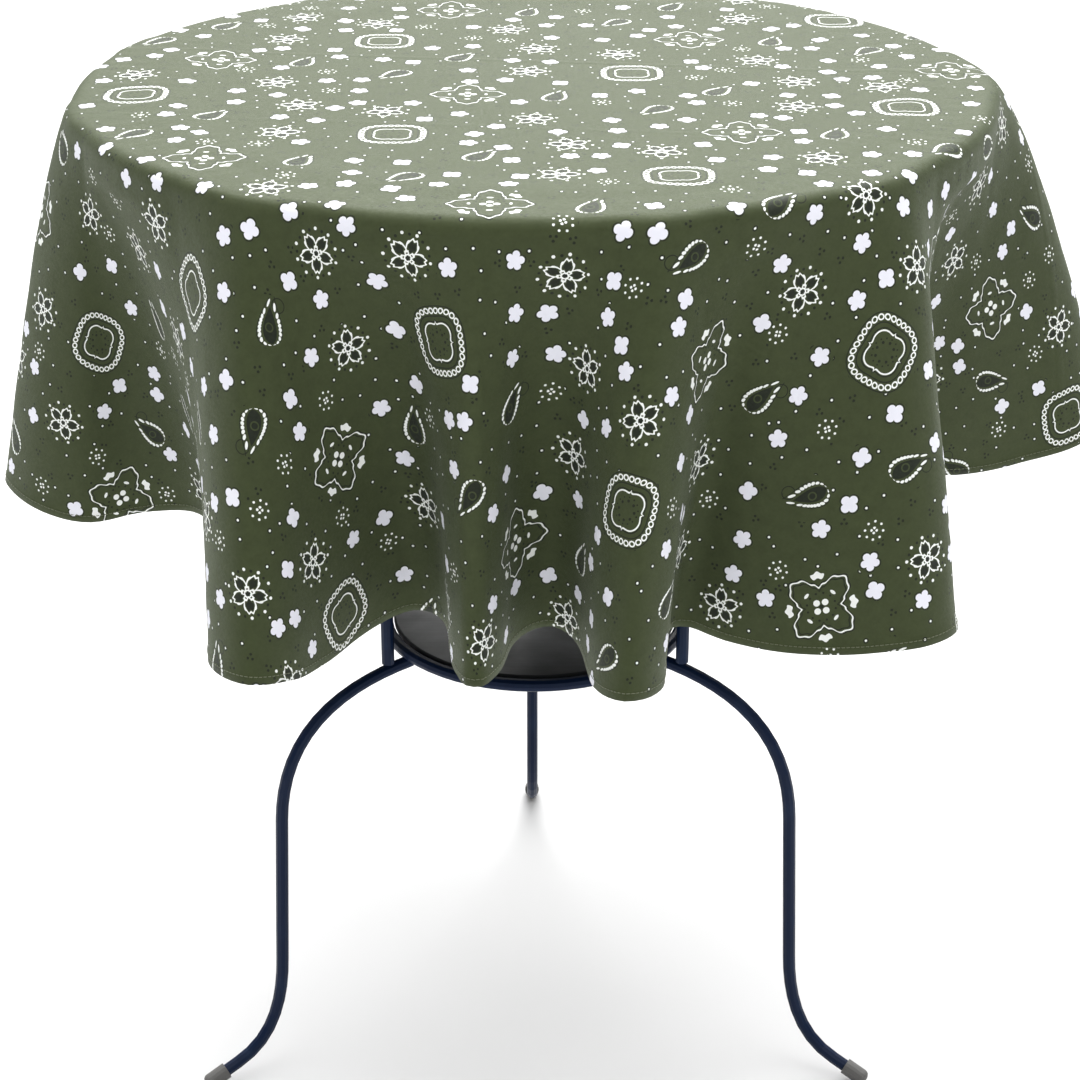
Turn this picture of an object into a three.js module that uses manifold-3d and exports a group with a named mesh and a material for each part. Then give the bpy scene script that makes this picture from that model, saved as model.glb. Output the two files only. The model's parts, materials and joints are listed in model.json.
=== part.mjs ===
// Round bistro table on a three-legged rod frame, with a round cotton tablecloth draped over it.
// Millimetres, +Z up. The origin is on the floor, on the table's vertical axis.

import * as THREE from "three";
import { mergeVertices } from "three/addons/utils/BufferGeometryUtils.js";
import Module from "manifold-3d";

const wasm = await Module();
wasm.setup();

// ---- driving dimensions ----

const TABLE_HEIGHT = 779; // floor to the bare tabletop
const TOP_RADIUS = 330; // over the steel rim band
const GAP = 0.4; // what pieces that touch or are welded keep between their meshes
const SCREW_GAP = 0.5; // between a screw's head and the piece that it holds

const PANEL_THICK = 15;
const BAND_THICK = 5;
const BAND_HEIGHT = 22;
const BAND_CHAMFER = 1.5;
const TOP_SEGMENTS = 72;

const ROD_RADIUS = 5; // every post, leg and the shelf ring is 10 mm round bar
const POST_CIRCLE = 132; // radius at which the posts stand
const LEG_AZIMUTHS = [-29.5, 90.5, 210.5]; // degrees from +X, seen from above

const PLATE = { radial: 60, across: 34, thick: 3 };
const PLATE_SCREW = { head: 4.5, headThick: 2.6, shank: 2, length: 14, spread: 20 };

const SHELF_RING_RADIUS = 118; // to the middle of the bar
const SHELF_RING_Z = 348;
const SHELF_RADIUS = 112.4;
const SHELF_THICK = 6;
const SHELF_BOTTOM_Z = 347;
const SHELF_CHAMFER = 1.2;
const SHELF_SEGMENTS = 60;
const BAR_SIDES = 10;

const LUG = { inner: 92, outer: 116, across: 18, thick: 3, screwInset: 8 };
const LUG_SCREW = { head: 4, headThick: 2, shank: 1.6, length: 7 };

// The leg's centre line, as radius from the table's axis and height. Each bend has two control points.
const LEG_TOP = { r: 112, z: 337.2 }; // the leg's end under the shelf ring
const UPPER_BEND = [{ r: 170, z: 331 }, { r: 226, z: 307 }];
const LEG_KNEE = { r: 228.5, z: 225 };
const LEG_ANKLE = { r: 234.5, z: 95 };
const LOWER_BEND = [{ r: 237.5, z: 45 }, { r: 255.5, z: 24.4 }];
const FOOT_STRAIGHT = { r: 276.5, z: 16 }; // from here outwards the bar is straight, for the cap
const LEG_FOOT = { r: 301.5, z: 6 }; // where the bar ends inside its cap
const LEG_STEPS = 34;
const CAP = { radius: 6.6, length: 20, end: 5 }; // the end is solid and rounded

const CLOTH_THICK = 3;
const CLOTH_HEM_Z = 466;
const CLOTH_EDGE_BEND = 8; // height over which the cloth turns down at the rim
const CLOTH_CLEARANCE = 0.8; // between the rim band and the cloth's wall
const CLOTH_SEGMENTS = 80;
const CLOTH_ROWS = 5;
const FLARE_POWER = 1.25; // how late down the drape the folds open out

// Folds of the hanging cloth: azimuth, how far the hem stands out there, and the fold's half width.
const FOLDS = [
  { azimuth: 183, out: 88, half: 24 },
  { azimuth: 240, out: 52, half: 20 },
  { azimuth: 264, out: 10, half: 8 },
  { azimuth: 280, out: 17, half: 12 },
  { azimuth: 318, out: 40, half: 24 },
  { azimuth: 4, out: 100, half: 25 },
  { azimuth: 50, out: 46, half: 18 },
  { azimuth: 90, out: 17, half: 14 },
  { azimuth: 134, out: 50, half: 20 },
];

// ---- materials ----

const material = (color, roughness, metalness) =>
  new THREE.MeshStandardMaterial({ color, roughness, metalness });

const COTTON = material(0x6f7446, 0.95, 0);
const BLUE_BLACK_PAINT = material(0x1d2536, 0.45, 0.3);
const CHARCOAL_BOARD = material(0x34363a, 0.6, 0);
const GREY_PLASTIC = material(0x8a8c8e, 0.55, 0);
const ZINC_STEEL = material(0x9a9da0, 0.4, 0.9);

// ---- helpers ----

const radians = THREE.MathUtils.degToRad;

function solidOf(geometry) {
  const bare = geometry.clone();
  bare.deleteAttribute("normal");
  bare.deleteAttribute("uv");
  const merged = mergeVertices(bare, 1e-4);
  return new wasm.Manifold(
    new wasm.Mesh({
      numProp: 3,
      vertProperties: merged.attributes.position.array,
      triVerts: new Uint32Array(merged.index.array),
    }),
  );
}

function geometryOf(solid) {
  const mesh = solid.getMesh();
  const geometry = new THREE.BufferGeometry();
  geometry.setAttribute("position", new THREE.BufferAttribute(mesh.vertProperties, 3));
  geometry.setIndex(new THREE.BufferAttribute(mesh.triVerts, 1));
  geometry.computeVertexNormals();
  return geometry;
}

// The first geometry with the others cut out of it.
function cut(geometry, ...tools) {
  const left = tools.reduce((solid, tool) => solid.subtract(solidOf(tool)), solidOf(geometry));
  return geometryOf(left);
}

// A solid turned round the Z axis from a profile of [radius, z] points.
function turned(points, segments) {
  const profile = points.map(([r, z]) => new THREE.Vector2(r, z));
  return new THREE.LatheGeometry(profile, segments).rotateX(Math.PI / 2);
}

// An upright round bar, standing on z = 0 before it is placed.
function upright(radius, height, segments) {
  return new THREE.CylinderGeometry(radius, radius, height, segments)
    .rotateX(Math.PI / 2)
    .translate(0, 0, height / 2);
}

// A pan-head screw pointing up, the underside of its head at z = 0.
function screw({ head, headThick, shank, length }) {
  return turned(
    [
      [0, -headThick],
      [head * 0.6, -headThick],
      [head, -headThick * 0.35],
      [head, 0],
      [shank, 0],
      [shank, length - shank],
      [0, length],
    ],
    12,
  );
}

const group = new THREE.Group();

function add(name, geometry, finish, parent = group) {
  const mesh = new THREE.Mesh(geometry, finish);
  mesh.name = name;
  parent.add(mesh);
  return mesh;
}

// A group turned to a leg's azimuth, so that +X in it points outwards along that leg.
function legStation(azimuth) {
  const station = new THREE.Group();
  station.rotation.z = radians(azimuth);
  group.add(station);
  return station;
}

// ---- tabletop ----

const panelBottomZ = TABLE_HEIGHT - PANEL_THICK;
const plateTopZ = panelBottomZ - GAP;
const plateBottomZ = plateTopZ - PLATE.thick;

// The two screws of each post plate lie along the plate, one on each side of the post.
const plateScrewRadii = [POST_CIRCLE - PLATE_SCREW.spread, POST_CIRCLE + PLATE_SCREW.spread];

function pilotHole(radius, azimuth) {
  return upright(PLATE_SCREW.shank + GAP, PLATE_SCREW.length, 12)
    .translate(radius, 0, plateBottomZ - GAP)
    .rotateZ(radians(azimuth));
}

function topPanel() {
  const board = upright(TOP_RADIUS - BAND_THICK - GAP, PANEL_THICK, TOP_SEGMENTS);
  const holes = LEG_AZIMUTHS.flatMap((azimuth) => plateScrewRadii.map((r) => pilotHole(r, azimuth)));
  return cut(board.translate(0, 0, panelBottomZ), ...holes);
}

function rimBand() {
  const inner = TOP_RADIUS - BAND_THICK;
  const bottom = TABLE_HEIGHT - BAND_HEIGHT;
  return turned(
    [
      [inner, bottom],
      [TOP_RADIUS, bottom],
      [TOP_RADIUS, TABLE_HEIGHT - BAND_CHAMFER],
      [TOP_RADIUS - BAND_CHAMFER, TABLE_HEIGHT],
      [inner, TABLE_HEIGHT],
      [inner, bottom],
    ],
    TOP_SEGMENTS,
  );
}

add("top_panel", topPanel(), CHARCOAL_BOARD);
add("top_rim_band", rimBand(), BLUE_BLACK_PAINT);

// ---- legs, posts and their plates ----

// The leg's centre line in its own upright plane: out from under the ring, down, and out to the foot.
function legLine() {
  const at = ({ r, z }) => new THREE.Vector3(r, 0, z);
  const line = new THREE.CurvePath();
  line.add(new THREE.CubicBezierCurve3(...[LEG_TOP, ...UPPER_BEND, LEG_KNEE].map(at)));
  line.add(new THREE.LineCurve3(at(LEG_KNEE), at(LEG_ANKLE)));
  line.add(new THREE.CubicBezierCurve3(...[LEG_ANKLE, ...LOWER_BEND, FOOT_STRAIGHT].map(at)));
  line.add(new THREE.LineCurve3(at(FOOT_STRAIGHT), at(LEG_FOOT)));
  return line;
}

function roundSection(radius, sides) {
  const section = new THREE.Shape();
  const step = (2 * Math.PI) / sides;
  for (let i = 0; i < sides; i++) {
    const x = radius * Math.cos(i * step);
    const y = radius * Math.sin(i * step);
    if (i === 0) section.moveTo(x, y);
    else section.lineTo(x, y);
  }
  return section;
}

function bentBar(line, steps) {
  return new THREE.ExtrudeGeometry(roundSection(ROD_RADIUS, BAR_SIDES), { steps, extrudePath: line });
}

// A cup pushed over the end of the bar and flattened where it stands on the floor.
function footCap(line) {
  const bore = ROD_RADIUS + GAP;
  const cup = turned(
    [
      [0, CAP.end],
      [CAP.radius * 0.45, CAP.end * 0.93],
      [CAP.radius * 0.8, CAP.end * 0.68],
      [CAP.radius * 0.97, CAP.end * 0.32],
      [CAP.radius, 0],
      [CAP.radius, CAP.end - CAP.length],
      [bore, CAP.end - CAP.length],
      [bore, 0],
      [0, 0],
    ].reverse(),
    16,
  );
  const end = line.getTangent(1);
  cup.rotateY(Math.atan2(end.x, end.z));
  cup.translate(LEG_FOOT.r + end.x * GAP, 0, LEG_FOOT.z + end.z * GAP);
  const deep = 2 * CAP.length;
  const floor = new THREE.BoxGeometry(2 * deep, 2 * deep, deep).translate(LEG_FOOT.r, 0, -deep / 2);
  return cut(cup, floor);
}

const leg = legLine();

// Each post stands on the bar of its leg, so it ends above the bar's highest point under it.
const underPost = leg.getSpacedPoints(200).find((point) => point.x >= POST_CIRCLE - ROD_RADIUS);
const postBottomZ = underPost.z + ROD_RADIUS + GAP;

LEG_AZIMUTHS.forEach((azimuth, index) => {
  const station = legStation(azimuth);
  const number = index + 1;
  add(`leg_${number}`, bentBar(leg, LEG_STEPS), BLUE_BLACK_PAINT, station);
  add(`foot_cap_${number}`, footCap(leg), GREY_PLASTIC, station);

  const post = upright(ROD_RADIUS, plateBottomZ - GAP - postBottomZ, 12);
  post.translate(POST_CIRCLE, 0, postBottomZ);
  add(`post_${number}`, post, BLUE_BLACK_PAINT, station);

  const plate = new THREE.BoxGeometry(PLATE.radial, PLATE.across, PLATE.thick);
  plate.translate(POST_CIRCLE, 0, plateBottomZ + PLATE.thick / 2);
  const holes = plateScrewRadii.map((r) => pilotHole(r, 0));
  add(`post_plate_${number}`, cut(plate, ...holes), BLUE_BLACK_PAINT, station);

  plateScrewRadii.forEach((r, side) => {
    const name = `plate_screw_${2 * index + side + 1}`;
    add(name, screw(PLATE_SCREW).translate(r, 0, plateBottomZ - SCREW_GAP), ZINC_STEEL, station);
  });
});

// ---- lower shelf ----

const lugTopZ = SHELF_BOTTOM_Z - GAP;
const lugBottomZ = lugTopZ - LUG.thick;
const lugScrewRadius = LUG.inner + LUG.screwInset;

// The lugs stand between the legs, and each holds the shelf by one screw from below.
const LUG_AZIMUTHS = LEG_AZIMUTHS.map((azimuth) => azimuth + 60);

function lugHole(azimuth) {
  return upright(LUG_SCREW.shank + GAP, LUG_SCREW.length + GAP, 10)
    .translate(lugScrewRadius, 0, lugBottomZ - GAP)
    .rotateZ(radians(azimuth));
}

function ringBar(barRadius) {
  const ring = new THREE.TorusGeometry(SHELF_RING_RADIUS, barRadius, BAR_SIDES, SHELF_SEGMENTS);
  return ring.translate(0, 0, SHELF_RING_Z);
}

add("shelf_ring", ringBar(ROD_RADIUS), BLUE_BLACK_PAINT);

const shelfBoard = turned(
  [
    [0, 0],
    [SHELF_RADIUS - SHELF_CHAMFER, 0],
    [SHELF_RADIUS, SHELF_CHAMFER],
    [SHELF_RADIUS, SHELF_THICK - SHELF_CHAMFER],
    [SHELF_RADIUS - SHELF_CHAMFER, SHELF_THICK],
    [0, SHELF_THICK],
  ],
  SHELF_SEGMENTS,
).translate(0, 0, SHELF_BOTTOM_Z);
add("shelf_panel", cut(shelfBoard, ...LUG_AZIMUTHS.map(lugHole)), CHARCOAL_BOARD);

// A larger bar than the ring's own, so that what it cuts keeps its gap to the ring.
const ringClearance = ringBar(ROD_RADIUS + GAP);

LUG_AZIMUTHS.forEach((azimuth, index) => {
  const lug = new THREE.BoxGeometry(LUG.outer - LUG.inner, LUG.across, LUG.thick);
  lug.translate((LUG.inner + LUG.outer) / 2, 0, lugBottomZ + LUG.thick / 2).rotateZ(radians(azimuth));
  add(`shelf_lug_${index + 1}`, cut(lug, ringClearance, lugHole(azimuth)), BLUE_BLACK_PAINT);

  const fixing = screw(LUG_SCREW).translate(lugScrewRadius, 0, lugBottomZ - SCREW_GAP);
  add(`shelf_screw_${index + 1}`, fixing.rotateZ(radians(azimuth)), ZINC_STEEL);
});

// ---- tablecloth ----

// How far the hem stands out at an azimuth, in degrees: one smooth swell for each fold.
function flareAt(azimuth) {
  return FOLDS.reduce((sum, fold) => {
    const away = Math.abs(((azimuth - fold.azimuth + 540) % 360) - 180);
    const share = Math.min(away / fold.half, 1);
    return sum + fold.out * 0.5 * (1 + Math.cos(Math.PI * share));
  }, 0);
}

// The cloth as one stiff bell: a flat top, a bend over the rim and a wall that opens into folds.
function clothBell() {
  const innerTopZ = TABLE_HEIGHT + GAP;
  const outerTopZ = innerTopZ + CLOTH_THICK;
  const innerWall = TOP_RADIUS + CLOTH_CLEARANCE;
  const outerWall = innerWall + CLOTH_THICK;
  const bendZ = TABLE_HEIGHT - CLOTH_EDGE_BEND;
  const drop = (row) => bendZ + ((CLOTH_HEM_Z - bendZ) * row) / CLOTH_ROWS;
  const rows = Array.from({ length: CLOTH_ROWS + 1 }, (_, row) => drop(row));
  const bell = turned(
    [
      [0, innerTopZ],
      [innerWall, innerTopZ],
      ...rows.map((z) => [innerWall, z]),
      ...rows.toReversed().map((z) => [outerWall, z]),
      [outerWall - 0.5 * CLOTH_THICK, outerTopZ - 0.8 * CLOTH_THICK],
      [outerWall - 2 * CLOTH_THICK, outerTopZ],
      [0, outerTopZ],
    ],
    CLOTH_SEGMENTS,
  );
  const position = bell.attributes.position;
  for (let i = 0; i < position.count; i++) {
    const x = position.getX(i);
    const y = position.getY(i);
    const share = Math.max(0, (bendZ - position.getZ(i)) / (bendZ - CLOTH_HEM_Z));
    const azimuth = (Math.round(Math.atan2(y, x) / radians(0.01)) * 0.01 + 360) % 360;
    const r = Math.hypot(x, y);
    const scale = r > 1 ? 1 + (flareAt(azimuth) * share ** FLARE_POWER) / r : 1;
    position.setXY(i, x * scale, y * scale);
  }
  return bell;
}

add("tablecloth", clothBell(), COTTON);

export default group;
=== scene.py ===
"""A round cotton tablecloth draped over a bistro table with a bent rod frame, in metres, +Z up."""

import json
import math

import bmesh
import bpy
import numpy as np
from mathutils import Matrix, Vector


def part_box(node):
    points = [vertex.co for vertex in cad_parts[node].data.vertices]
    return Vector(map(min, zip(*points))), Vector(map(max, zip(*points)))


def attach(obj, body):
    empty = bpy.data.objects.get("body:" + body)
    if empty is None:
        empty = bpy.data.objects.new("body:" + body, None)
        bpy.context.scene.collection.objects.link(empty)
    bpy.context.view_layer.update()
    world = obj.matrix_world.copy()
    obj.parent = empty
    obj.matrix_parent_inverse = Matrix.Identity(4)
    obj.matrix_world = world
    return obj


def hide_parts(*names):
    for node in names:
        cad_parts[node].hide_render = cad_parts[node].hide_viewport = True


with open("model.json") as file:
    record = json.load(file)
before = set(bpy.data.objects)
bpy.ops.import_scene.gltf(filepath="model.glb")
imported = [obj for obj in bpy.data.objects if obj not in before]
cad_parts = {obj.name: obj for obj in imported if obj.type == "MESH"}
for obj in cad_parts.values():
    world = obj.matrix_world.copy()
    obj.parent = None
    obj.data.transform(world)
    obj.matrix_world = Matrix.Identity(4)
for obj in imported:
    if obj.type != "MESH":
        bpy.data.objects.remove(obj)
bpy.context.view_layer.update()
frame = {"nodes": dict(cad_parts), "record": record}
nodes = frame["nodes"]

MM = 0.001

# ---- sizes, from the frame ----

TABLETOP_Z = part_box("top_rim_band")[1].z
TABLETOP_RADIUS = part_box("top_rim_band")[1].x

# ---- sizes of the cloth ----

CLOTH_DIAMETER = 1.283
CLOTH_RADIUS = CLOTH_DIAMETER / 2
CLOTH_THICK = 0.6 * MM
HEM_THICK = 1.8 * MM  # the edge is rolled over twice and stitched
DROP = CLOTH_RADIUS - TABLETOP_RADIUS

# The hem seen from above, once round from the left, in tabletop radii: points on the crest of each
# fold, in each hollow, and on the slopes between them.
HEM_OUTLINE = [
    (-1.21, -0.08), (-1.15, -0.21), (-1.02, -0.27), (-0.88, -0.24), (-0.74, -0.29), (-0.67, -0.48),
    (-0.66, -0.76), (-0.64, -0.98), (-0.56, -1.09), (-0.48, -1.04), (-0.42, -0.92), (-0.34, -0.80),
    (-0.25, -0.74), (-0.18, -0.79), (-0.16, -0.94), (-0.12, -1.03), (-0.07, -0.96), (-0.04, -0.85),
    (0.03, -0.80), (0.09, -0.86), (0.12, -1.04), (0.18, -1.12), (0.25, -1.04), (0.26, -0.86),
    (0.30, -0.79), (0.40, -0.84), (0.54, -0.89), (0.70, -0.92), (0.81, -0.90), (0.86, -0.80),
    (0.76, -0.58), (0.62, -0.42), (0.64, -0.20), (0.82, -0.06), (1.00, -0.01), (1.16, 0.03),
    (1.30, 0.07), (1.37, 0.16), (1.31, 0.29), (1.10, 0.34), (0.80, 0.34), (0.66, 0.42),
    (0.70, 0.62), (0.84, 0.82), (0.84, 0.94), (0.70, 0.94), (0.54, 0.78), (0.38, 0.66),
    (0.27, 0.78), (0.26, 1.02), (0.16, 1.12), (0.04, 1.04), (-0.02, 0.82), (-0.12, 0.72),
    (-0.26, 0.80), (-0.38, 1.00), (-0.52, 1.12), (-0.66, 1.04), (-0.66, 0.76), (-0.60, 0.54),
    (-0.72, 0.42), (-0.94, 0.44), (-1.12, 0.42), (-1.14, 0.30), (-0.98, 0.20), (-0.74, 0.13),
    (-0.80, 0.03), (-1.02, 0.00),
]


# ---- camera ----

CAMERA_DISTANCE = 5.20 * TABLETOP_RADIUS
CAMERA_HEIGHT = TABLETOP_Z + 1.335 * TABLETOP_RADIUS
CAMERA_DOWN = math.radians(25.14)
CAMERA_TURN = math.radians(-0.15)


def make_camera():
    data = bpy.data.cameras.new("camera")
    data.lens = 80
    data.sensor_width = 36
    camera = bpy.data.objects.new("camera", data)
    bpy.context.scene.collection.objects.link(camera)
    camera.location = (0, -CAMERA_DISTANCE, CAMERA_HEIGHT)
    camera.rotation_euler = (math.pi / 2 - CAMERA_DOWN, 0, CAMERA_TURN)
    bpy.context.scene.camera = camera


# ---- mesh helpers ----

def new_object(name, vertices, faces):
    mesh = bpy.data.meshes.new(name)
    mesh.from_pydata(vertices, [], faces)
    mesh.update()
    obj = bpy.data.objects.new(name, mesh)
    bpy.context.scene.collection.objects.link(obj)
    return obj


def apply_modifiers(obj):
    depsgraph = bpy.context.evaluated_depsgraph_get()
    made = bpy.data.meshes.new_from_object(obj.evaluated_get(depsgraph), depsgraph=depsgraph)
    obj.modifiers.clear()
    old = obj.data
    obj.data = made
    bpy.data.meshes.remove(old)


# ---- materials ----

def linear(colour, alpha=1.0):
    """A colour written as sRGB hex, as the linear values that a shader takes."""
    values = [int(colour[i:i + 2], 16) / 255 for i in (1, 3, 5)]
    return (*[v / 12.92 if v <= 0.04045 else ((v + 0.055) / 1.055) ** 2.4 for v in values], alpha)


def add(tree, kind, inputs=(), **settings):
    """Adds a node with its settings, and fills or links its inputs, given in order or by name."""
    node = tree.nodes.new("ShaderNode" + kind)
    for name, value in settings.items():
        setattr(node, name, value)
    in_use = [socket for socket in node.inputs if socket.enabled]
    pairs = inputs.items() if isinstance(inputs, dict) else enumerate(inputs)
    for key, value in pairs:
        socket = in_use[key] if isinstance(key, int) else node.inputs[key]
        if isinstance(value, bpy.types.Node):
            value = next(output for output in value.outputs if output.enabled)
        if isinstance(value, bpy.types.NodeSocket):
            tree.links.new(value, socket)
        else:
            socket.default_value = value
    return node


def new_material(name):
    material = bpy.data.materials.new(name)
    material.use_nodes = True
    material.node_tree.nodes.clear()
    return material, material.node_tree


# The print repeats along two slanting steps. Everything in it is in millimetres of flat cloth.
REPEAT_ACROSS = (187, -100)
REPEAT_UP = (167, 164)
REPEAT_AREA = REPEAT_ACROSS[0] * REPEAT_UP[1] - REPEAT_ACROSS[1] * REPEAT_UP[0]
PRINT_START = (72, 26)  # the wreath nearest the cloth's middle

# Where each motif is printed, from the wreath: x, y and turn in degrees.
WREATHS = [(0, 0, 0)]
MEDALLIONS = [(48, 104, 0)]
BLOSSOMS = [(95, 38, 10), (-8, 58, 50), (118, -25, 30), (278, 70, 0)]
PAISLEYS = [(110, 100, 5), (60, -50, -12), (180, 60, 160)]

# How far from a motif's centre the small dots and sprigs stay away.
WREATH_REACH = 27
MEDALLION_REACH = 28
BLOSSOM_REACH = 18
PAISLEY_REACH = 17

FLOWER_SPACING = 33
FLOWER_SIZE = 6.6
FLOWERS_KEEP_FROM = ((WREATHS + MEDALLIONS, 35), (BLOSSOMS, 25), (PAISLEYS, 23))
SPRIG_SPACING = 17

# Creases left from the cloth's folding for the shop: how far each lies from the middle, in
# millimetres across the grain, and how sharp it still is. The grain runs a little aslant.
PACKING_WAY = (0.126, 0.992, 0)
PACKING_FOLDS = [(62, 0.5), (-122, 0.25)]
PACKING_FOLD_REACH = 6.0
PACKING_FOLD_HEIGHT = 0.7

THREAD_SPACING = 0.7  # twice that of real threads, so that they show


def in_repeats(x, y):
    """A place in millimetres, as shares of the two steps of the repeat."""
    return ((REPEAT_UP[1] * x - REPEAT_UP[0] * y) / REPEAT_AREA,
            (REPEAT_ACROSS[0] * y - REPEAT_ACROSS[1] * x) / REPEAT_AREA, 0)


def repeats_at(tree, place):
    """The node form of in_repeats, for a place that varies over the cloth."""
    (ax, ay, _), (bx, by, _) = in_repeats(1, 0), in_repeats(0, 1)
    first = add(tree, "VectorMath", [place, (ax, bx, 0)], operation="DOT_PRODUCT")
    second = add(tree, "VectorMath", [place, (ay, by, 0)], operation="DOT_PRODUCT")
    return add(tree, "CombineXYZ", [first, second])


def from_nearest(tree, cell, spots):
    """The place in millimetres from the nearest of a motif's spots, in the motif's own turn."""
    nearest = None
    for x, y, turn in spots:
        moved = add(tree, "VectorMath", [cell, in_repeats(x, y)], operation="SUBTRACT")
        wrapped = add(tree, "VectorMath", [moved, (0.5, 0.5, 0), (-0.5, -0.5, 0)], operation="WRAP")
        cos, sin = math.cos(math.radians(turn)), math.sin(math.radians(turn))
        (ax, ay), (bx, by) = REPEAT_ACROSS, REPEAT_UP
        along = (cos * ax + sin * ay, cos * bx + sin * by, 0)
        up = (cos * ay - sin * ax, cos * by - sin * bx, 0)
        local = add(tree, "CombineXYZ", [
            add(tree, "VectorMath", [wrapped, along], operation="DOT_PRODUCT"),
            add(tree, "VectorMath", [wrapped, up], operation="DOT_PRODUCT")])
        distance = add(tree, "VectorMath", [local], operation="LENGTH")
        if nearest is None:
            nearest, least = local, distance
            continue
        closer = add(tree, "Math", [distance, least], operation="LESS_THAN")
        nearest = add(tree, "Mix", [closer, nearest, local], data_type="VECTOR")
        least = add(tree, "Math", [distance, least], operation="MINIMUM")
    return nearest


def polar(tree, place):
    """Distance and angle of a place from its motif's centre."""
    xyz = add(tree, "SeparateXYZ", [place])
    angle = add(tree, "Math", [xyz.outputs["Y"], xyz.outputs["X"]], operation="ARCTAN2")
    return add(tree, "VectorMath", [place], operation="LENGTH"), angle


def most_of(tree, masks):
    joined = masks[0]
    for mask in masks[1:]:
        joined = add(tree, "Math", [joined, mask], operation="MAXIMUM")
    return joined


def beads(tree, radius, angle, ring, count, bead, half_turn=False):
    """A ring of round dots. With half_turn, they lie between those of a plain ring."""
    gap = math.pi * ring / count
    arc = add(tree, "Math", [angle, ring, gap if half_turn else 0], operation="MULTIPLY_ADD")
    along = add(tree, "Math", [arc, gap], operation="PINGPONG")
    off_ring = add(tree, "Math", [radius, ring], operation="SUBTRACT")
    away = add(tree, "VectorMath", [add(tree, "CombineXYZ", [off_ring, along])], operation="LENGTH")
    return add(tree, "Math", [away, bead], operation="LESS_THAN")


def wreath(tree, place):
    """A rounded square chain of links round a four-lobed outline: its white and its black ink."""
    chain, links = 22.0, 30
    radius, angle = polar(tree, place)
    corners = add(tree, "Math", [add(tree, "Math", [angle, 4], operation="MULTIPLY")], operation="COSINE")
    line = add(tree, "Math", [corners, -1.3, chain], operation="MULTIPLY_ADD")
    off_line = add(tree, "Math", [radius, line], operation="SUBTRACT")
    arc = add(tree, "Math", [angle, chain], operation="MULTIPLY")
    along = add(tree, "Math", [arc, math.pi * chain / links], operation="PINGPONG")
    away = add(tree, "VectorMath", [add(tree, "CombineXYZ", [off_line, along])], operation="LENGTH")
    rings = add(tree, "Math", [away, 1.75, 0.5], operation="COMPARE")
    lobes = add(tree, "Math", [add(tree, "Math", [angle, 2], operation="MULTIPLY")], operation="SINE")
    lobes = add(tree, "Math", [add(tree, "Math", [lobes], operation="ABSOLUTE"), 0.7], operation="POWER")
    cusp = add(tree, "Math", [1, lobes], operation="SUBTRACT")
    cusp = add(tree, "Math", [cusp, 4], operation="POWER")
    inner = add(tree, "Math", [lobes, 5.2, 9.2], operation="MULTIPLY_ADD")
    inner = add(tree, "Math", [cusp, 4.6, inner], operation="MULTIPLY_ADD")
    off_inner = add(tree, "Math", [radius, inner], operation="SUBTRACT")
    white = most_of(tree, [rings, add(tree, "Math", [off_inner, 0, 0.55], operation="COMPARE")])
    black = most_of(tree, [
        add(tree, "Math", [off_line, -3.6, 0.45], operation="COMPARE"),
        add(tree, "Math", [off_line, 3.2, 0.4], operation="COMPARE"),
        add(tree, "Math", [off_inner, 1.6, 0.45], operation="COMPARE"),
        beads(tree, radius, angle, 6.5, 8, 1.0),
        beads(tree, radius, angle, 9.0, 14, 0.6, half_turn=True)])
    return white, black


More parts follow.
